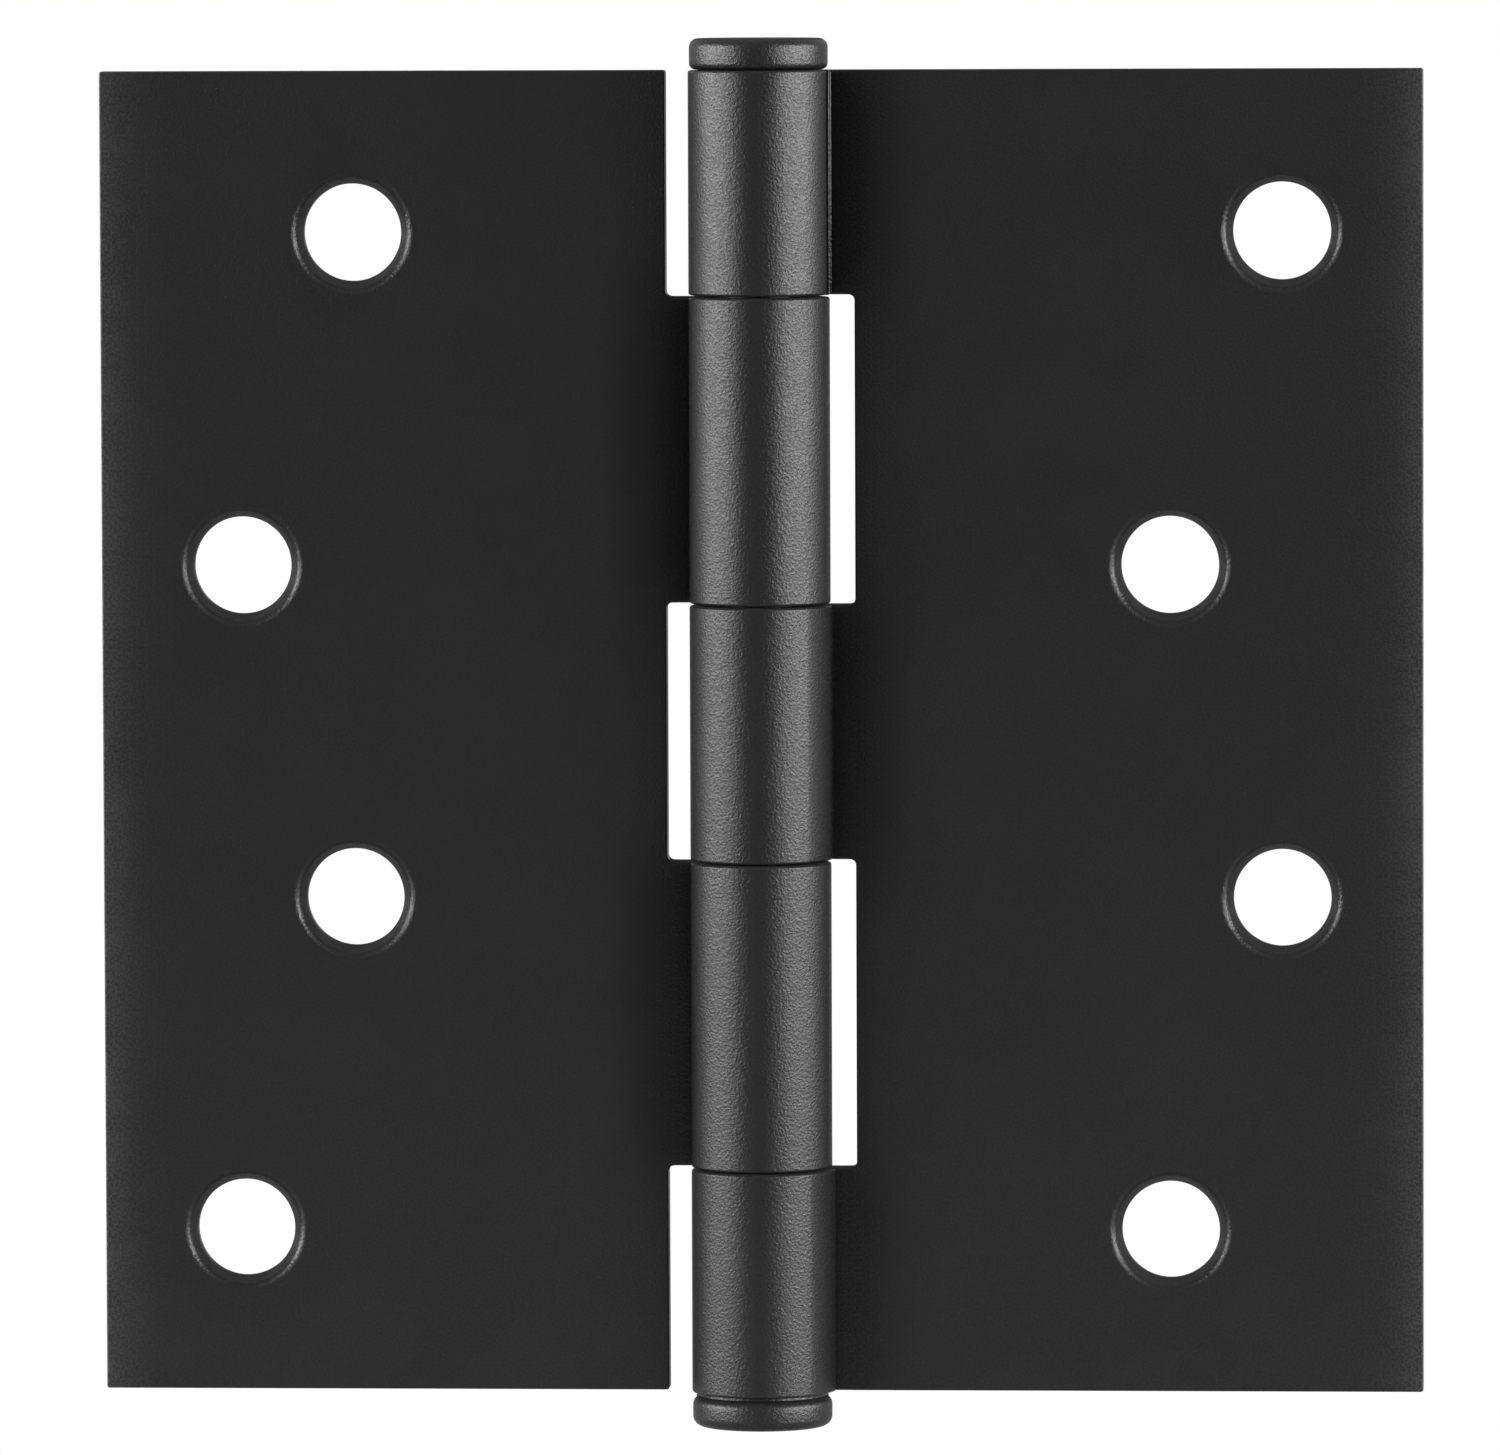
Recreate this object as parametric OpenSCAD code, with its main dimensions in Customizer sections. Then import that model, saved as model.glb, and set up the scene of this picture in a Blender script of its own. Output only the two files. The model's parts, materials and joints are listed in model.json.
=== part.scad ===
// Butt hinge with a loose pin, square corners and five interleaved knuckles.
// Frame: the pin's axis is +Z and the origin is on it at mid-height. The open leaves lie
// in the XZ plane, the jamb leaf towards +X and the door leaf towards -X, and their
// countersunk front faces look towards -Y. Millimetres.

/* [Leaves] */
// Height of each leaf, and of the barrel
leaf_h = 101.6; // [80:0.1:127]
// Width over both leaves when the hinge lies open
open_w = 101.6; // [85:0.1:127]
// Thickness of the leaf plate and of the knuckles curled from it
leaf_t = 2.2; // [1.8:0.1:2.8]
// Gap between the two front faces when the hinge is closed
closed_gap = 1.6; // [1:0.1:3]
// Radius of the rounded inner corners of the notches
notch_corner_r = 0.45; // [0.2:0.05:1]

/* [Barrel] */
// Length of the jamb leaf's top and bottom knuckles
end_knuckle_l = 17.2; // [12:0.1:24]
// Length of the jamb leaf's middle knuckle
middle_knuckle_l = 19.6; // [10:0.1:30]
// Gap between neighbouring knuckles
knuckle_gap = 0.15; // [0.1:0.05:0.6]
// Radius of the rounded rims of the knuckles
knuckle_rim_r = 0.2; // [0.1:0.05:0.6]
// Clearance between the barrel and the edge of the other leaf
notch_clearance = 1.85; // [1:0.05:3]
// Width of the seam between the end of the curl and the leaf
seam_w = 0.25; // [0.15:0.05:0.6]
// Radius of the hollow where the back of the leaf sweeps into the barrel
swage_r = 3; // [1.5:0.25:5]

/* [Screw holes] */
// Diameter of the clear hole
screw_hole_d = 7.5; // [5:0.1:8]
// Diameter of the countersink at the front face
countersink_d = 9.25; // [8.2:0.05:10.5]
// Included angle of the countersink
countersink_angle = 60; // [50:1:100]
// Distance of the first and the last hole from the leaf's ends
end_hole_inset = 12.4; // [8:0.1:18]
// Distance of the outer column of holes from the leaf's outer edge
outer_column_inset = 10.8; // [7:0.1:14]
// Distance between the outer and the inner column of holes
column_offset = 8.6; // [0:0.1:12]

/* [Pin] */
// Diameter of the pin's shaft
pin_d = 6.35; // [5.5:0.05:7.5]
// Radial running clearance between the pin and the knuckles
pin_clearance = 0.04; // [0.02:0.01:0.1]
// Height of the pin's head above the barrel
head_h = 2.45; // [1.8:0.05:4]
// How far the head's rim stands in from the barrel's surface
head_inset = 0.1; // [0:0.05:0.5]
// Radius of the rounded top edge of the head
head_top_r = 0.7; // [0.3:0.05:1]
// Radius of the rounded lower edge of the head
head_bottom_r = 0.35; // [0.2:0.05:0.5]
// Clearance between the seated head and the top knuckle
head_seat_gap = 0.05; // [0.02:0.01:0.2]
// Length of the tapered lead at the lower end of the shaft
pin_lead_l = 2.5; // [1:0.1:5]
// Diameter of the shaft's lower end face
pin_lead_d = 4.2; // [3:0.1:5]

/* [Bottom tip] */
// Height of the tip below the barrel
tip_h = 2.6; // [2.2:0.05:4]
// How far the tip's rim stands in from the barrel's surface
tip_inset = 0.05; // [0:0.05:0.5]
// Height of the neck between the barrel and the tip's rim
neck_h = 0.25; // [0.15:0.05:0.6]
// How far the neck stands in from the barrel's surface
neck_inset = 0.4; // [0.1:0.05:1]
// Radius of the tip's upper shoulder
tip_top_r = 0.7; // [0.3:0.05:0.8]
// Radius of the tip's lower edge
tip_bottom_r = 0.8; // [0.3:0.05:0.8]
// Length of the tip's stem inside the bottom knuckle
stem_l = 6; // [3:0.5:8]
// How much larger the stem's radius is than the bore it is pressed into
stem_bite = 0.01; // [0.005:0.005:0.03]
// Clearance between the stem and the end of the pin
stem_to_pin_gap = 1.2; // [0.5:0.1:2]
// Diameter of the hole through the tip for driving the pin out
drift_hole_d = 3.2; // [2:0.1:4]

/* [Hidden] */
$fn = 96;
cut_past = 1;                                      // how far a cut runs past the face it opens

half_h = leaf_h / 2;
half_w = open_w / 2;
bore_r = pin_d / 2 + pin_clearance;
barrel_r = bore_r + leaf_t;
front_y = closed_gap / 2;                          // countersunk faces, behind the pin's axis
back_y = front_y + leaf_t;
notch_x = barrel_r + notch_clearance;              // edge of a leaf beside the other's knuckles

// The hollow behind the leaf touches the leaf's back at swage_x and the barrel at swage_end.
swage_x = sqrt(pow(barrel_r + swage_r, 2) - pow(back_y + swage_r, 2));
swage_end = [swage_x, back_y + swage_r] * barrel_r / (barrel_r + swage_r);

// Knuckles, each as [lowest z, highest z]. The door leaf's two fill what the jamb leaf's leave.
middle_top = middle_knuckle_l / 2;
door_low = middle_top + knuckle_gap;
end_low = half_h - end_knuckle_l;
door_high = end_low - knuckle_gap;
jamb_knuckles = [[-half_h, -end_low], [-middle_top, middle_top], [end_low, half_h]];
door_knuckles = [[-door_high, -door_low], [door_low, door_high]];

// Notches clear the other leaf's knuckles; the outer ones run past the leaf's ends.
jamb_notches = [[-end_low, -middle_top], [middle_top, end_low]];
door_notches = [
    [-half_h - cut_past, -door_high],
    [-door_low, door_low],
    [door_high, half_h + cut_past]
];

// Screw holes, each as [distance from the pin's axis, z], in two staggered columns.
hole_count = 4;
hole_pitch = (leaf_h - 2 * end_hole_inset) / (hole_count - 1);
outer_column_x = half_w - outer_column_inset;
inner_column_x = outer_column_x - column_offset;
columns = [outer_column_x, inner_column_x];
top_hole_z = half_h - end_hole_inset;
jamb_holes = [for (i = [0:hole_count - 1]) [columns[i % 2], top_hole_z - i * hole_pitch]];
door_holes = [for (i = [0:hole_count - 1]) [columns[(i + 1) % 2], top_hole_z - i * hole_pitch]];
countersink_depth = (countersink_d - screw_hole_d) / 2 / tan(countersink_angle / 2);

leaf_color = "#2b2b2b";
hardware_color = "#3c3c3d";

// A disc standing on the plane z = 0, with its two outer edges rounded.
module rounded_disc(r, h, top_r, bottom_r) {
    rotate_extrude()
        union() {
            square([r - max(top_r, bottom_r), h]);
            translate([0, bottom_r])
                square([r, h - top_r - bottom_r]);
            square([r - bottom_r, bottom_r]);
            translate([0, h - top_r])
                square([r - top_r, top_r]);
            translate([r - bottom_r, bottom_r])
                circle(bottom_r);
            translate([r - top_r, h - top_r])
                circle(top_r);
        }
}

// Section of the sweep that joins the back of the leaf to the barrel.
module swage_section() {
    difference() {
        translate([swage_end[0], front_y])
            square([swage_x - swage_end[0], swage_end[1] - front_y]);
        translate([swage_x, back_y + swage_r])
            circle(swage_r);
    }
}

// One knuckle on the +X side, from z = span[0] to z = span[1], before it is bored.
module knuckle_blank(span) {
    translate([0, 0, span[0]]) {
        rounded_disc(barrel_r, span[1] - span[0], knuckle_rim_r, knuckle_rim_r);
        linear_extrude(span[1] - span[0])
            swage_section();
    }
}

// Outline, as x and z, of the opening that a knuckle of the other leaf turns in.
module notch_outline(span) {
    r = notch_corner_r;
    translate([0, span[0]])
        square([notch_x - r, span[1] - span[0]]);
    translate([0, span[0] + r])
        square([notch_x, span[1] - span[0] - 2 * r]);
    for (z = [span[0] + r, span[1] - r])
        translate([notch_x - r, z])
            circle(r);
}

// The flat plate of a leaf on the +X side. It runs into the barrel between the notches.
module plate(notches) {
    translate([0, back_y, 0])
        rotate([90, 0, 0])
            linear_extrude(leaf_t)
                difference() {
                    translate([swage_end[0], -half_h])
                        square([half_w - swage_end[0], leaf_h]);
                    for (span = notches)
                        notch_outline(span);
                }
}

// A screw hole at [x, z], with its countersink on the front face.
module screw_hole(at) {
    translate([at[0], front_y, at[1]])
        rotate([-90, 0, 0]) {
            translate([0, 0, -cut_past])
                cylinder(h = leaf_t + 2 * cut_past, d = screw_hole_d);
            cylinder(h = countersink_depth, d1 = countersink_d, d2 = screw_hole_d);
        }
}

// The seam that the end of the curl leaves in front of the plate.
module seam(span) {
    translate([0, front_y - seam_w, span[0] - cut_past])
        cube([barrel_r + cut_past, seam_w, span[1] - span[0] + 2 * cut_past]);
}

// A whole leaf on the +X side.
module leaf(knuckles, notches, holes) {
    difference() {
        union() {
            plate(notches);
            for (span = knuckles)
                knuckle_blank(span);
        }
        translate([0, 0, -half_h - cut_past])
            cylinder(h = leaf_h + 2 * cut_past, r = bore_r);
        for (span = knuckles)
            seam(span);
        for (at = holes)
            screw_hole(at);
    }
}

module jamb_leaf() {
    color(leaf_color)
        leaf(jamb_knuckles, jamb_notches, jamb_holes);
}

module door_leaf() {
    color(leaf_color)
        mirror([1, 0, 0])
            leaf(door_knuckles, door_notches, door_holes);
}

// The loose pin: a flat button head on a plain shaft with a tapered lead.
module hinge_pin() {
    shaft_end = -half_h + stem_l + stem_to_pin_gap;
    lead_top = shaft_end + pin_lead_l;
    color(hardware_color) {
        translate([0, 0, half_h + head_seat_gap])
            rounded_disc(barrel_r - head_inset, head_h - head_seat_gap, head_top_r, head_bottom_r);
        translate([0, 0, lead_top])
            cylinder(h = half_h + head_h / 2 - lead_top, d = pin_d);
        translate([0, 0, shaft_end])
            cylinder(h = pin_lead_l, d1 = pin_lead_d, d2 = pin_d);
    }
}

// The plug that closes the barrel's lower end, pressed into the bottom knuckle.
module bottom_tip() {
    rim_h = tip_h - neck_h;
    color(hardware_color)
        difference() {
            translate([0, 0, -half_h - tip_h]) {
                rounded_disc(barrel_r - tip_inset, rim_h, tip_top_r, tip_bottom_r);
                translate([0, 0, rim_h / 2])
                    cylinder(h = tip_h - rim_h / 2, r = barrel_r - neck_inset);
                translate([0, 0, rim_h / 2])
                    cylinder(h = tip_h - rim_h / 2 + stem_l, r = bore_r + stem_bite);
            }
            translate([0, 0, -half_h - tip_h - cut_past])
                cylinder(h = tip_h + stem_l + 2 * cut_past, d = drift_hole_d);
        }
}

jamb_leaf();
door_leaf();
hinge_pin();
bottom_tip();
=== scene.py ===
import json
import math

import bmesh
import bpy
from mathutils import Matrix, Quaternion, Vector


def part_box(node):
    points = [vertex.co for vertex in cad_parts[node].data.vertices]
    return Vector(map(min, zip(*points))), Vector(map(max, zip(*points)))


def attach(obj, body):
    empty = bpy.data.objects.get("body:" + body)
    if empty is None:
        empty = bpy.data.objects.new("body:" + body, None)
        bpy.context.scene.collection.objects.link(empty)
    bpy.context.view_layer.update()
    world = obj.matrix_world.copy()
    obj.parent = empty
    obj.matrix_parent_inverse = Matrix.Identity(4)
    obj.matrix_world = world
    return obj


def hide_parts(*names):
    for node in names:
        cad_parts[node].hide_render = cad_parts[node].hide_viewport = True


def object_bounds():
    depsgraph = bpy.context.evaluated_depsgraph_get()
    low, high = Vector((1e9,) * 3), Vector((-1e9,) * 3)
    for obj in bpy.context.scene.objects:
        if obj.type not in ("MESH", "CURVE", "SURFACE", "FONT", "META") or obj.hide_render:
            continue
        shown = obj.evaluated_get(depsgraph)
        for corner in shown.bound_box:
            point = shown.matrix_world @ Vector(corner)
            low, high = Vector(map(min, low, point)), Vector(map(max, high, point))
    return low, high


# A butt hinge in matte black powder coat, open flat in a white studio. Metres throughout.
# The pin's axis is +Z, the leaves lie in the XZ plane and their front faces look towards -Y.
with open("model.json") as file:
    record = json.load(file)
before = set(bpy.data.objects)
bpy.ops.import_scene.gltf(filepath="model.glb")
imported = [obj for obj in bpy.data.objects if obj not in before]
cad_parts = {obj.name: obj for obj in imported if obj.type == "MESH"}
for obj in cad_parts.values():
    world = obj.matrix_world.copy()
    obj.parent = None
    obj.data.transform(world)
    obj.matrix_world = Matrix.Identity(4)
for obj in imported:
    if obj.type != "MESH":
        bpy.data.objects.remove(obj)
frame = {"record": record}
cad_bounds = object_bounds()

MM = 0.001
MOUNTS = {mount["name"]: mount for mount in frame["record"]["mounts"]}

# ---- Sizes that the frame gives ----
_, LEAF_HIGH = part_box("jamb_leaf")
PIN_LOW, PIN_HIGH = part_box("hinge_pin")
TIP_LOW, TIP_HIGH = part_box("bottom_tip")
HALF_H = LEAF_HIGH.z
HALF_W = LEAF_HIGH.x
BARREL_R = LEAF_HIGH.y
BACK_Y = MOUNTS["jamb_back"]["pos_m"][1]

# ---- Leaf sizes, as the CAD parts have them ----
LEAF_T = 2.2 * MM
END_KNUCKLE_L = 17.2 * MM
MIDDLE_KNUCKLE_L = 19.6 * MM
KNUCKLE_GAP = 0.15 * MM
NOTCH_CLEARANCE = 1.85 * MM
NOTCH_CORNER_R = 0.45 * MM
SWAGE_R = 3 * MM
COUNTERSINK_ANGLE = math.radians(60)
BORE_R = BARREL_R - LEAF_T
FRONT_Y = BACK_Y - LEAF_T
NOTCH_X = BARREL_R + NOTCH_CLEARANCE

# ---- Edges, all rounded ----
RIM_R = 0.2 * MM                # ends of the knuckles
BORE_RIM_R = 0.1 * MM           # ends of the bores
PLATE_EDGE_R = 0.13 * MM        # edges of the plates
PLATE_CORNER_R = 0.2 * MM       # outer corners of the plates
LIP_R = 0.35 * MM               # outer edge of the end of a curl
INNER_LIP_R = 0.15 * MM         # inner edge of the end of a curl
ROOT_R = 0.45 * MM              # where the plate's front face turns into the bore
HOLE_LIP_R = 0.7 * MM           # outer edge of a countersink
HOLE_THROAT_R = 0.15 * MM       # edge between a countersink and its hole
HOLE_BACK_R = 0.15 * MM         # edge of a hole on the back face

# Where a countersink's slope would meet the front face. Its round lip reaches 0.4 mm further out,
# past the CAD parts' sharp edge at 4.625 mm.
COUNTERSINK_R = 4.4 * MM

# ---- Mesh fineness ----
BARREL_STEPS = 144
HOLE_STEPS = 96
EDGE_STEPS = 5
JOIN_X = 6.3 * MM               # where a plate's mesh passes into its knuckles
WELD = 0.0005 * MM
FLAT_BAND = 4 * WELD            # edges this close in height belong to one flat face
PATH_END = 1 * MM               # how far a hole's outline is drawn past its rims
NO_TURN = 1e-6                  # radians
SHARP_ANGLE = math.radians(40)

# Knuckles as (lowest z, highest z), from the top down.
MIDDLE_TOP = MIDDLE_KNUCKLE_L / 2
DOOR_LOW = MIDDLE_TOP + KNUCKLE_GAP
END_LOW = HALF_H - END_KNUCKLE_L
DOOR_HIGH = END_LOW - KNUCKLE_GAP
JAMB_KNUCKLES = [(END_LOW, HALF_H), (-MIDDLE_TOP, MIDDLE_TOP), (-HALF_H, -END_LOW)]
DOOR_KNUCKLES = [(DOOR_LOW, DOOR_HIGH), (-DOOR_HIGH, -DOOR_LOW)]

# How each curl ends: the y of its end face, the y where the root behind the seam starts, and for
# a curl whose last stretch is straighter, three directions in degrees: of the place where the
# barrel's round ends, and of the straighter face there and at its lip.
ROUND_CURL = {"end_y": 0.55 * MM, "root_y": FRONT_Y, "straight": None}
SHORT_CURL = {"end_y": -0.95 * MM, "root_y": -0.75 * MM, "straight": None}
STRAIGHT_CURL = {"end_y": 0.55 * MM, "root_y": FRONT_Y, "straight": (-43, -36, -8)}
WIDE_CURL = {"end_y": 0.55 * MM, "root_y": FRONT_Y, "straight": (-42, -34, -13)}
JAMB_CURLS = [SHORT_CURL, STRAIGHT_CURL, WIDE_CURL]
DOOR_CURLS = [ROUND_CURL, ROUND_CURL]
KNEE_X = 5.46 * MM              # edge of the root beside a short curl
KNEE_R = 0.09 * MM
KNEE_FILLET_R = 0.06 * MM
HOLLOW_STEPS = 8

# ---- Pin and tip ----
SHAFT_R = 3.175 * MM
HEAD_BOTTOM = HALF_H + 0.05 * MM
HEAD_TOP_R = 0.7 * MM
HEAD_BOTTOM_R = 0.5 * MM
HEAD_FILLET_R = 0.15 * MM
LEAD_TOP = PIN_LOW.z + 2.5 * MM
LEAD_R = 2.1 * MM
LEAD_TOP_R = 0.6 * MM
LEAD_END_R = 0.4 * MM
NECK_TOP = -HALF_H
NECK_BOTTOM = NECK_TOP - 0.25 * MM
NECK_R = BARREL_R - 0.4 * MM
NECK_TOP_R = 0.05 * MM
NECK_FILLET_R = 0.08 * MM
TIP_R = TIP_HIGH.x
TIP_TOP_R = 0.7 * MM
TIP_BOTTOM_R = 0.8 * MM
STEM_R = BORE_R - 0.01 * MM
STEM_TOP_R = 0.3 * MM
DRIFT_R = 1.6 * MM
DRIFT_RIM_R = 0.2 * MM
LATHE_STEPS = 8

# ---- Coat ----
GRAIN = 0.2 * MM
GRAIN_HEIGHT = 0.07 * MM
GRAIN_BUMP = 0.6
GRAIN_TONE = 0.8                # share of the grain in the colour
CLOUD = 9 * MM                  # size of the faint broad mottling
CLOUD_TONE = 0.2                # share of the mottling in the colour
NOISE_ROUGHNESS = 0.6
WEAR_PATCH = 1.5 * MM
WEAR_TONE = 0.5                 # how much lighter worn edges are
WEAR_SHEEN = 0.06               # how much smoother worn edges are
SHARPEST_ROUND = math.radians(90 / EDGE_STEPS)
SHADE_REACH = 7 * MM
SHADE_DEPTH = 3
SHADE_SAMPLES = 8
CORNER_SMOOTHNESS = 0.5
TOP_ROUGHNESS = 0.95
# Painted light on the coat: its colour is made paler towards the leaves' outer edges.
PAINTED_EDGE_LIGHT_W = 10 * MM
PAINTED_EDGE_LIGHT_FALLOFF = 5
PAINTED_EDGE_LIGHT_GAIN = 3

# ---- Stage and light ----
FLOOR_SIZE = 6
FLOOR_LIGHT = 0.45
FLOOR_GLOW_R = 0.4
FRONT_LIGHT = 0.07
TOP_LIGHT = 0.35
BACK_LIGHT = 0.4
BACK_GLOW_FROM = 0.3            # distance behind the hinge where the floor's back light is full
SOFTBOX_W = 1.25
SOFTBOX_H = 0.8

# ---- Camera ----
VIEW_AZIMUTH = math.radians(3.389)
VIEW_ELEVATION = math.radians(3.603)
VIEW_ROLL = math.radians(-0.197)
VIEW_DISTANCE = 1.0037
VIEW_LENS = 313.86
AIM = Vector((-0.81, 0, 0.4)) * MM


def turned(angle):
    """The unit vector at angle, in radians."""
    return Vector((math.cos(angle), math.sin(angle)))


def spread(start, end, steps):
    """steps + 1 values from start to end."""
    return [start + (end - start) * i / steps for i in range(steps + 1)]


def rounded_path(corners, steps=EDGE_STEPS):
    """An open path through corners, each (x, z, corner radius, edge radius).

    Gives points (place, direction to the left of the path, edge radius)."""
    places = [Vector(corner[:2]) for corner in corners]
    points = []
    for i, (place, (_, _, corner_r, edge_r)) in enumerate(zip(places, corners)):
        before = (place - places[i - 1]).normalized() if i else None
        after = (places[i + 1] - place).normalized() if i < len(places) - 1 else before
        before = before or after
        turn = before.angle_signed(after)
        left = Vector((-before.y, before.x))
        if not corner_r or abs(turn) < NO_TURN:
            points.append((place, left, edge_r))
            continue
        side = -math.copysign(1, turn)
        centre = place - before * corner_r * math.tan(abs(turn) / 2) + left * corner_r * side
        start = math.atan2(before.y, before.x)
        for angle in spread(start, start - turn, steps):
            across = Vector((-math.sin(angle), math.cos(angle)))
            points.append((centre - across * corner_r * side, across, edge_r))
    return points


def add_grid(mesh, rows, closed=False):
    """Quads between rows of points, each row as long as the next."""
    grid = [[mesh.verts.new(point) for point in row] for row in rows]
    pairs = list(zip(grid, grid[1:]))
    if closed:
        pairs.append((grid[-1], grid[0]))
    for one, other in pairs:
        for i in range(len(one) - 1):
            mesh.faces.new((one[i], one[i + 1], other[i + 1], other[i]))


def edge_profile(radius):
    """A plate's rounded edge, from front face to back face, as (distance in, y)."""
    angles = spread(math.pi / 2, 0, EDGE_STEPS)
    front = [(radius * (1 - math.cos(a)), FRONT_Y + radius * (1 - math.sin(a))) for a in angles]
    return front + [(inset, FRONT_Y + BACK_Y - y) for inset, y in reversed(front)]


def add_plate_edge(mesh, corners):
    """The edge of the plate along a path, with the plate on the path's left."""
    rows = []
    for place, inward, radius in rounded_path(corners):
        row = []
        for inset, y in edge_profile(radius):
            spot = place + inward * inset
            row.append((spot.x, y, spot.y))
        rows.append(row)
    add_grid(mesh, rows)


def plate_edges(knuckles):
    """Paths along the plate's edge, from each knuckle to the next one round the plate."""
    top, bottom = knuckles[0][1], knuckles[-1][0]

    def to_end(z, end):
        """From a knuckle's outer end to the plate's corner."""
        if abs(z) > HALF_H - WELD:
            return [(JOIN_X, z, 0, RIM_R), (NOTCH_X, z, 0, PLATE_EDGE_R)]
        return [
            (JOIN_X, z, 0, RIM_R),
            (NOTCH_X, z, NOTCH_CORNER_R, PLATE_EDGE_R),
            (NOTCH_X, end, PLATE_CORNER_R, PLATE_EDGE_R),
        ]

    outer = to_end(bottom, -HALF_H)
    outer.append((HALF_W, -HALF_H, PLATE_CORNER_R, PLATE_EDGE_R))
    outer.append((HALF_W, HALF_H, PLATE_CORNER_R, PLATE_EDGE_R))
    outer.extend(reversed(to_end(top, HALF_H)))
    paths = [outer]
    for (upper, _), (_, lower) in zip(knuckles, knuckles[1:]):
        paths.append([
            (JOIN_X, upper, 0, RIM_R),
            (NOTCH_X, upper, NOTCH_CORNER_R, PLATE_EDGE_R),
            (NOTCH_X, lower, NOTCH_CORNER_R, PLATE_EDGE_R),
            (JOIN_X, lower, 0, RIM_R),
        ])
    return paths


def curl_section(end_y, root_y, straight):
    """A knuckle's section from the plate's back face round the barrel to its front face.

    Gives points (place, direction out of the metal, rim radius)."""
    section = [(Vector((JOIN_X, BACK_Y)), Vector((0, 1)), RIM_R)]

    def add_arc(centre, radius, start, end, steps, hollow=False, rims=(RIM_R, RIM_R),
                keep=slice(None)):
        arc = list(zip(spread(start, end, steps), spread(*rims, steps)))
        for angle, rim in arc[keep]:
            ray = turned(angle)
            section.append((centre + ray * radius, -ray if hollow else ray, rim))

    # The hollow behind the plate, and the barrel.
    swage_x = math.sqrt((BARREL_R + SWAGE_R) ** 2 - (BACK_Y + SWAGE_R) ** 2)
    swage_centre = Vector((swage_x, BACK_Y + SWAGE_R))
    barrel_from = math.atan2(swage_centre.y, swage_centre.x)
    add_arc(swage_centre, SWAGE_R, -math.pi / 2, barrel_from - math.pi, HOLLOW_STEPS, hollow=True)
    lip_y = end_y - LIP_R
    if straight:
        round_to, straight_from, lip_from = (math.radians(angle) for angle in straight)
        corner = turned(round_to) * BARREL_R
        rise = lip_y + LIP_R * math.sin(lip_from) - corner.y
        straight_r = rise / (math.sin(lip_from) - math.sin(straight_from))
        straight_centre = corner - turned(straight_from) * straight_r
        lip_centre = straight_centre + turned(lip_from) * (straight_r - LIP_R)
    else:
        lip_centre = Vector((math.sqrt((BARREL_R - LIP_R) ** 2 - lip_y ** 2), lip_y))
        round_to = lip_from = math.atan2(lip_centre.y, lip_centre.x)
    barrel_to = 2 * math.pi + round_to
    steps = round(BARREL_STEPS * (barrel_to - barrel_from) / (2 * math.pi))
    add_arc(Vector((0, 0)), BARREL_R, barrel_from, barrel_to, steps, keep=slice(-1))
    if straight:
        add_arc(straight_centre, straight_r, straight_from, lip_from, 2 * EDGE_STEPS,
                keep=slice(-1))

    # The end of the curl.
    add_arc(lip_centre, LIP_R, lip_from, math.pi / 2, EDGE_STEPS)
    inner_y = end_y - INNER_LIP_R
    inner_centre = Vector((math.sqrt((BORE_R + INNER_LIP_R) ** 2 - inner_y ** 2), inner_y))
    inner_to = math.atan2(inner_centre.y, inner_centre.x)
    rims = (BORE_RIM_R, BORE_RIM_R)
    add_arc(inner_centre, INNER_LIP_R, math.pi / 2, math.pi + inner_to, EDGE_STEPS, rims=rims)

    # The bore, back round to the root.
    root_centre_y = root_y + ROOT_R
    root_centre = Vector((math.sqrt((BORE_R + ROOT_R) ** 2 - root_centre_y ** 2), root_centre_y))
    root_from = math.atan2(root_centre.y, root_centre.x)
    bore_from = 2 * math.pi + inner_to
    steps = round(BARREL_STEPS / 2 * (bore_from - root_from) / (2 * math.pi))
    add_arc(Vector((0, 0)), BORE_R, bore_from, root_from, steps, hollow=True, rims=rims,
            keep=slice(1, -1))
    rims = (BORE_RIM_R, RIM_R)
    add_arc(root_centre, ROOT_R, math.pi + root_from, 1.5 * math.pi, EDGE_STEPS, rims=rims)

    # The root's knee beside a short curl, then the plate's front face.
    if root_y < FRONT_Y:
        knee = Vector((KNEE_X - KNEE_R, root_y + KNEE_R))
        add_arc(knee, KNEE_R, -math.pi / 2, 0, EDGE_STEPS)
        foot = Vector((KNEE_X + KNEE_FILLET_R, FRONT_Y - KNEE_FILLET_R))
        add_arc(foot, KNEE_FILLET_R, math.pi, math.pi / 2, EDGE_STEPS, hollow=True)
    section.append((Vector((JOIN_X, FRONT_Y)), Vector((0, -1)), RIM_R))
    return section


def add_knuckle(mesh, low, high, curl):
    """The walls of a knuckle, with its rims rounded. Its two end faces are filled later."""
    rows = []
    for place, outward, rim in curl_section(**curl):
        row = []
        for angle in spread(math.pi / 2, 0, EDGE_STEPS):
            spot = place - outward * rim * (1 - math.cos(angle))
            row.append((spot.x, spot.y, low + rim * (1 - math.sin(angle))))
        top = [(x, y, low + high - z) for x, y, z in reversed(row)]
        rows.append(row + top)
    add_grid(mesh, rows)


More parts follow.
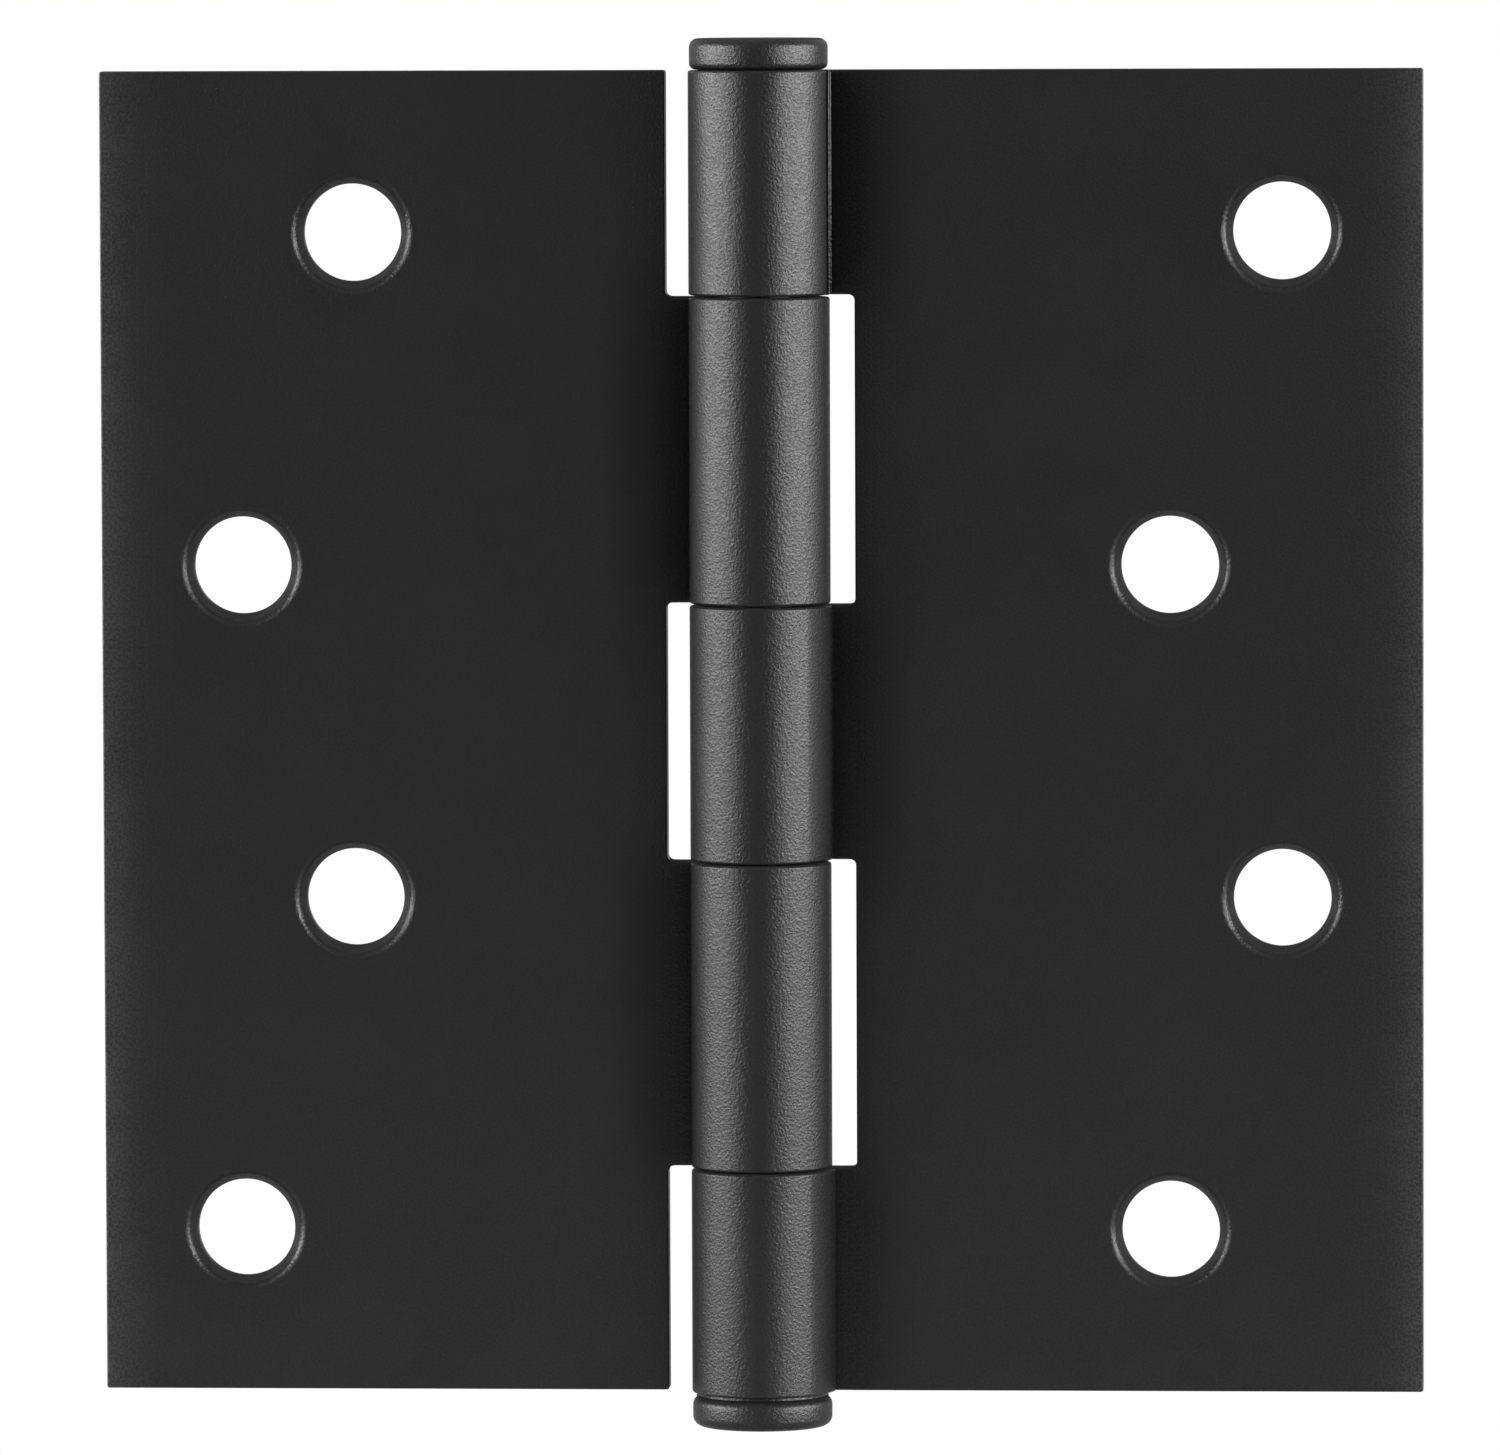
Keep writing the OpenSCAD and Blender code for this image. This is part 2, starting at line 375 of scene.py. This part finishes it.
def add_hole(mesh, x, z, hole_r):
    """A countersunk hole through the plate, from the front face to the back face."""
    slope = COUNTERSINK_ANGLE / 2
    depth = (COUNTERSINK_R - hole_r) / math.tan(slope)
    profile = rounded_path([
        (COUNTERSINK_R + PATH_END, FRONT_Y, 0, 0),
        (COUNTERSINK_R, FRONT_Y, HOLE_LIP_R, 0),
        (hole_r, FRONT_Y + depth, HOLE_THROAT_R, 0),
        (hole_r, BACK_Y, HOLE_BACK_R, 0),
        (hole_r + PATH_END, BACK_Y, 0, 0),
    ])[1:-1]
    rows = []
    for angle in spread(0, 2 * math.pi, HOLE_STEPS)[:-1]:
        ray = turned(angle)
        rows.append([(x + place.x * ray.x, place.y, z + place.x * ray.y)
                     for place, _, _ in profile])
    add_grid(mesh, rows, closed=True)


def fill_flats(mesh):
    """Fills every flat face that the walls leave open."""
    bmesh.ops.remove_doubles(mesh, verts=mesh.verts, dist=WELD)
    groups = {}
    for edge in mesh.edges:
        if not edge.is_boundary:
            continue
        one, other = (vert.co for vert in edge.verts)
        for axis in (1, 2):
            if abs(one[axis] - other[axis]) < WELD and abs(one[axis]) > WELD:
                key = (axis, round(one[axis] / FLAT_BAND))
                groups.setdefault(key, []).append(edge)
    for (axis, _), edges in groups.items():
        if len(edges) < 3:
            continue
        normal = Vector((0, 0, 0))
        normal[axis] = 1
        bmesh.ops.triangle_fill(mesh, edges=edges, use_beauty=True, normal=normal)


def finish_piece(name, mesh, body, node, material):
    """Turns a mesh into a piece that stands for a CAD node."""
    bmesh.ops.remove_doubles(mesh, verts=mesh.verts, dist=WELD)
    bmesh.ops.recalc_face_normals(mesh, faces=mesh.faces)
    wear = mesh.verts.layers.float.new("edge_wear")
    for vert in mesh.verts:
        sharpest = max(edge.calc_face_angle(0) for edge in vert.link_edges)
        vert[wear] = min(1, sharpest / SHARPEST_ROUND)
    data = bpy.data.meshes.new(name)
    mesh.to_mesh(data)
    mesh.free()
    data.shade_smooth()
    data.set_sharp_from_angle(angle=SHARP_ANGLE)
    data.materials.append(material)
    piece = bpy.data.objects.new(name, data)
    bpy.context.scene.collection.objects.link(piece)
    weighted = piece.modifiers.new("flat faces stay flat", "WEIGHTED_NORMAL")
    weighted.keep_sharp = True
    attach(piece, body)
    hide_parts(node)


def leaf_mesh(knuckles, curls, side):
    """A leaf on the +X side, or with side = -1 its mirror image."""
    mesh = bmesh.new()
    for path in plate_edges(knuckles):
        add_plate_edge(mesh, path)
    for (low, high), curl in zip(knuckles, curls):
        add_knuckle(mesh, low, high, curl)
    for mount in MOUNTS.values():
        x, _, z = mount["pos_m"]
        if mount["kind"] != "bolt_pattern" or x * side < 0:
            continue
        reach = mount["dims"]["spacing_y_mm"] * MM / 2
        for hole_z in (z - reach, z + reach):
            add_hole(mesh, abs(x), hole_z, mount["dims"]["hole_r_mm"] * MM)
    fill_flats(mesh)
    for vert in mesh.verts:
        vert.co.x *= side
    return mesh


def lathe_mesh(corners):
    """A turned piece from the corners of its outline, each (r, z, corner radius, 0)."""
    outline = [place for place, _, _ in rounded_path(corners, steps=LATHE_STEPS)]
    mesh = bmesh.new()
    rows = []
    for angle in spread(0, 2 * math.pi, BARREL_STEPS)[:-1]:
        ray = turned(angle)
        rows.append([(place.x * ray.x, place.x * ray.y, place.y) for place in outline])
    add_grid(mesh, rows, closed=True)
    return mesh


def pin_mesh():
    """The loose pin: a button head on a plain shaft with a tapered lead."""
    return lathe_mesh([
        (0, PIN_HIGH.z, 0, 0),
        (PIN_HIGH.x, PIN_HIGH.z, HEAD_TOP_R, 0),
        (PIN_HIGH.x, HEAD_BOTTOM, HEAD_BOTTOM_R, 0),
        (SHAFT_R, HEAD_BOTTOM, HEAD_FILLET_R, 0),
        (SHAFT_R, LEAD_TOP, LEAD_TOP_R, 0),
        (LEAD_R, PIN_LOW.z, LEAD_END_R, 0),
        (0, PIN_LOW.z, 0, 0),
    ])


def tip_mesh():
    """The plug in the bottom knuckle, with the hole for driving the pin out."""
    middle = (TIP_LOW.z + TIP_HIGH.z) / 2
    return lathe_mesh([
        (DRIFT_R, middle, 0, 0),
        (DRIFT_R, TIP_HIGH.z, DRIFT_RIM_R, 0),
        (STEM_R, TIP_HIGH.z, STEM_TOP_R, 0),
        (STEM_R, NECK_TOP, NECK_TOP_R, 0),
        (NECK_R, NECK_TOP, NECK_TOP_R, 0),
        (NECK_R, NECK_BOTTOM, NECK_FILLET_R, 0),
        (TIP_R, NECK_BOTTOM, TIP_TOP_R, 0),
        (TIP_R, TIP_LOW.z, TIP_BOTTOM_R, 0),
        (DRIFT_R, TIP_LOW.z, DRIFT_RIM_R, 0),
        (DRIFT_R, middle, 0, 0),
    ])


def grey(value):
    """A neutral colour."""
    return (value, value, value, 1)


def calculate(tree, operation, one, other):
    """The output of a Math node. one and other are sockets or numbers."""
    node = tree.nodes.new("ShaderNodeMath")
    node.operation = operation
    for socket, value in zip(node.inputs, (one, other)):
        if isinstance(value, (int, float)):
            socket.default_value = value
        else:
            tree.links.new(value, socket)
    return node.outputs["Value"]


def remap(tree, value, low, high, to_low, to_high, easing="LINEAR"):
    """value, taken from the range low to high to the range to_low to to_high."""
    node = tree.nodes.new("ShaderNodeMapRange")
    node.interpolation_type = easing
    for name, number in (("From Min", low), ("From Max", high),
                         ("To Min", to_low), ("To Max", to_high)):
        node.inputs[name].default_value = number
    tree.links.new(value, node.inputs["Value"])
    return node.outputs["Result"]


def powder_coat(name, dark, light, smooth, rough):
    """Grained black powder coat. dark and light are its greys, smooth and rough its roughness."""
    material = bpy.data.materials.new(name)
    material.use_nodes = True
    tree = material.node_tree
    nodes, links = tree.nodes, tree.links
    shader = nodes["Principled BSDF"]
    place = nodes.new("ShaderNodeTexCoord").outputs["Object"]

    def noise(size, detail):
        node = nodes.new("ShaderNodeTexNoise")
        node.inputs["Scale"].default_value = 1 / size
        node.inputs["Detail"].default_value = detail
        node.inputs["Roughness"].default_value = NOISE_ROUGHNESS
        links.new(place, node.inputs["Vector"])
        return node.outputs[0]

    grain = noise(GRAIN, 1.5)
    cloud = noise(CLOUD, 3)
    wear = nodes.new("ShaderNodeAttribute")
    wear.attribute_name = "edge_wear"
    patches = remap(tree, noise(WEAR_PATCH, 4), 0.45, 0.65, 0, 1)
    worn = calculate(tree, "MULTIPLY", wear.outputs["Fac"], patches)

    # Shade gathers where surfaces meet, as in the corner between a leaf and the barrel.
    corner = nodes.new("ShaderNodeAmbientOcclusion")
    corner.only_local = True
    corner.samples = SHADE_SAMPLES
    corner.inputs["Distance"].default_value = SHADE_REACH
    shade = calculate(tree, "POWER", corner.outputs["AO"], SHADE_DEPTH)

    # Painted light: the coat's colour is made paler towards the leaves' outer edges, standing in
    # for the light that falls there.
    spot = nodes.new("ShaderNodeSeparateXYZ")
    links.new(place, spot.inputs["Vector"])
    outward = calculate(tree, "ABSOLUTE", spot.outputs["X"], 0)
    painted_edge_light = remap(tree, outward, HALF_W - PAINTED_EDGE_LIGHT_W, HALF_W, 0, 1)
    painted_edge_light = calculate(tree, "POWER", painted_edge_light, PAINTED_EDGE_LIGHT_FALLOFF)
    painted_edge_light = calculate(tree, "ADD", calculate(tree, "MULTIPLY", painted_edge_light, PAINTED_EDGE_LIGHT_GAIN), 1)

    # Colour: grain, a faint broad mottling and slightly lighter worn edges.
    tone = calculate(tree, "ADD", remap(tree, grain, 0.4, 0.6, 0, GRAIN_TONE),
                     remap(tree, cloud, 0.3, 0.7, 0, CLOUD_TONE))
    tone = calculate(tree, "ADD", tone, calculate(tree, "MULTIPLY", worn, WEAR_TONE))
    mix = nodes.new("ShaderNodeMix")
    mix.data_type = "RGBA"
    mix.inputs["A"].default_value = grey(dark)
    mix.inputs["B"].default_value = grey(light)
    links.new(tone, mix.inputs["Factor"])
    # The colour is scaled by the painted shade in corners and the painted light towards the
    # leaves' outer edges.
    shaded = nodes.new("ShaderNodeVectorMath")
    shaded.operation = "SCALE"
    links.new(mix.outputs["Result"], shaded.inputs[0])
    links.new(calculate(tree, "MULTIPLY", shade, painted_edge_light), shaded.inputs["Scale"])
    links.new(shaded.outputs["Vector"], shader.inputs["Base Color"])

    # Roughness: the grain's tops and the worn edges are smoother, and so is the coat in corners.
    roughness = calculate(tree, "SUBTRACT", remap(tree, grain, 0.3, 0.7, rough, smooth),
                          calculate(tree, "MULTIPLY", worn, WEAR_SHEEN))
    roughness = calculate(tree, "MULTIPLY", roughness,
                          remap(tree, shade, 0, 1, CORNER_SMOOTHNESS, 1))

    # The flat top faces are dull.
    facing = nodes.new("ShaderNodeSeparateXYZ")
    links.new(nodes.new("ShaderNodeNewGeometry").outputs["Normal"], facing.inputs["Vector"])
    roughness = calculate(tree, "MAXIMUM", roughness,
                          remap(tree, facing.outputs["Z"], 0.5, 0.95, 0, TOP_ROUGHNESS))
    links.new(roughness, shader.inputs["Roughness"])

    # Bump: the grain's tops stand out by less than a tenth of a millimetre.
    bump = nodes.new("ShaderNodeBump")
    bump.inputs["Strength"].default_value = GRAIN_BUMP
    bump.inputs["Distance"].default_value = GRAIN_HEIGHT
    links.new(grain, bump.inputs["Height"])
    links.new(bump.outputs["Normal"], shader.inputs["Normal"])
    return material


def seen_or_lit(tree, lit):
    """White for the camera's own rays, and lit, a socket, for all others."""
    path = tree.nodes.new("ShaderNodeLightPath")
    mix = tree.nodes.new("ShaderNodeMix")
    tree.links.new(path.outputs["Is Camera Ray"], mix.inputs["Factor"])
    tree.links.new(lit, mix.inputs["A"])
    mix.inputs["B"].default_value = 1
    return mix.outputs["Result"]


def make_floor():
    """A plain pale floor under the hinge, lit most around and behind it. Clear from below."""
    material = bpy.data.materials.new("pale_floor")
    material.use_nodes = True
    tree = material.node_tree
    tree.nodes.clear()
    glow = tree.nodes.new("ShaderNodeEmission")
    output = tree.nodes.new("ShaderNodeOutputMaterial")
    surface = tree.nodes.new("ShaderNodeNewGeometry")
    distance = tree.nodes.new("ShaderNodeVectorMath")
    distance.operation = "LENGTH"
    tree.links.new(surface.outputs["Position"], distance.inputs[0])
    spot = tree.nodes.new("ShaderNodeSeparateXYZ")
    tree.links.new(surface.outputs["Position"], spot.inputs["Vector"])
    around = remap(tree, distance.outputs["Value"], 0, FLOOR_GLOW_R, FLOOR_LIGHT, 0, "SMOOTHSTEP")
    behind = remap(tree, spot.outputs["Y"], 0, BACK_GLOW_FROM, 0, BACK_LIGHT, "SMOOTHSTEP")
    lit = calculate(tree, "ADD", around, behind)
    tree.links.new(seen_or_lit(tree, lit), glow.inputs["Strength"])
    clear = tree.nodes.new("ShaderNodeBsdfTransparent")
    one_sided = tree.nodes.new("ShaderNodeMixShader")
    tree.links.new(surface.outputs["Backfacing"], one_sided.inputs[0])
    tree.links.new(glow.outputs["Emission"], one_sided.inputs[1])
    tree.links.new(clear.outputs["BSDF"], one_sided.inputs[2])
    tree.links.new(one_sided.outputs["Shader"], output.inputs["Surface"])
    data = bpy.data.meshes.new("floor")
    corners = [(x * FLOOR_SIZE, y * FLOOR_SIZE, cad_bounds[0].z)
               for x, y in ((-1, -1), (1, -1), (1, 1), (-1, 1))]
    data.from_pydata(corners, [], [(0, 1, 2, 3)])
    data.materials.append(material)
    floor = bpy.data.objects.new("floor", data)
    bpy.context.scene.collection.objects.link(floor)


def make_world():
    """A white background that lights the hinge softly, mostly from above and behind."""
    world = bpy.data.worlds.new("studio")
    bpy.context.scene.world = world
    world.use_nodes = True
    tree = world.node_tree
    background = tree.nodes["Background"]
    background.inputs["Color"].default_value = grey(1)
    direction = tree.nodes.new("ShaderNodeTexCoord").outputs["Generated"]
    parts = tree.nodes.new("ShaderNodeSeparateXYZ")
    tree.links.new(direction, parts.inputs["Vector"])
    above = remap(tree, parts.outputs["Z"], 0.1, 0.9, FRONT_LIGHT, FRONT_LIGHT + TOP_LIGHT,
                  "SMOOTHSTEP")
    behind = remap(tree, parts.outputs["Y"], 0, 1, 0, BACK_LIGHT, "SMOOTHSTEP")
    lit = calculate(tree, "ADD", above, behind)
    tree.links.new(seen_or_lit(tree, lit), background.inputs["Strength"])


def make_softbox(name, azimuth, power):
    """A soft light, level with the hinge, 1 m away, turned to it and not itself seen.

    azimuth is in degrees from the front, towards +X."""
    data = bpy.data.lights.new(name, "AREA")
    data.shape = "RECTANGLE"
    data.size, data.size_y = SOFTBOX_W, SOFTBOX_H
    data.energy = power
    light = bpy.data.objects.new(name, data)
    angle = math.radians(azimuth)
    towards = Vector((math.sin(angle), -math.cos(angle), 0))
    light.location = towards
    light.rotation_mode = "QUATERNION"
    light.rotation_quaternion = (-towards).to_track_quat("-Z", "Y")
    light.visible_camera = False
    bpy.context.scene.collection.objects.link(light)


def make_camera():
    """A long lens, a little to the right of the hinge and a little above it."""
    data = bpy.data.cameras.new("camera")
    data.lens = VIEW_LENS
    data.clip_start, data.clip_end = 0.01, 100
    camera = bpy.data.objects.new("camera", data)
    back = Vector((
        math.sin(VIEW_AZIMUTH) * math.cos(VIEW_ELEVATION),
        -math.cos(VIEW_AZIMUTH) * math.cos(VIEW_ELEVATION),
        math.sin(VIEW_ELEVATION),
    ))
    camera.location = AIM + back * VIEW_DISTANCE
    camera.rotation_mode = "QUATERNION"
    facing = (-back).to_track_quat("-Z", "Y")
    camera.rotation_quaternion = facing @ Quaternion((0, 0, 1), VIEW_ROLL)
    bpy.context.scene.collection.objects.link(camera)
    bpy.context.scene.camera = camera


# ---- The hinge ----
leaf_coat = powder_coat("leaf_coat", dark=0.001, light=0.0118, smooth=0.31, rough=0.49)
hardware_coat = powder_coat("hardware_coat", dark=0.0015, light=0.0135, smooth=0.3, rough=0.48)
finish_piece("jamb_leaf_shell", leaf_mesh(JAMB_KNUCKLES, JAMB_CURLS, 1),
             "jamb", "jamb_leaf", leaf_coat)
finish_piece("door_leaf_shell", leaf_mesh(DOOR_KNUCKLES, DOOR_CURLS, -1),
             "door", "door_leaf", leaf_coat)
finish_piece("hinge_pin_turned", pin_mesh(),
             "pin", "hinge_pin", hardware_coat)
finish_piece("bottom_tip_turned", tip_mesh(),
             "jamb", "bottom_tip", hardware_coat)

# ---- Studio ----
make_floor()
make_world()
make_softbox("left_softbox", azimuth=-73, power=32)
make_softbox("right_softbox", azimuth=70, power=34.5)
make_camera()
bpy.context.scene.view_settings.view_transform = "Standard"
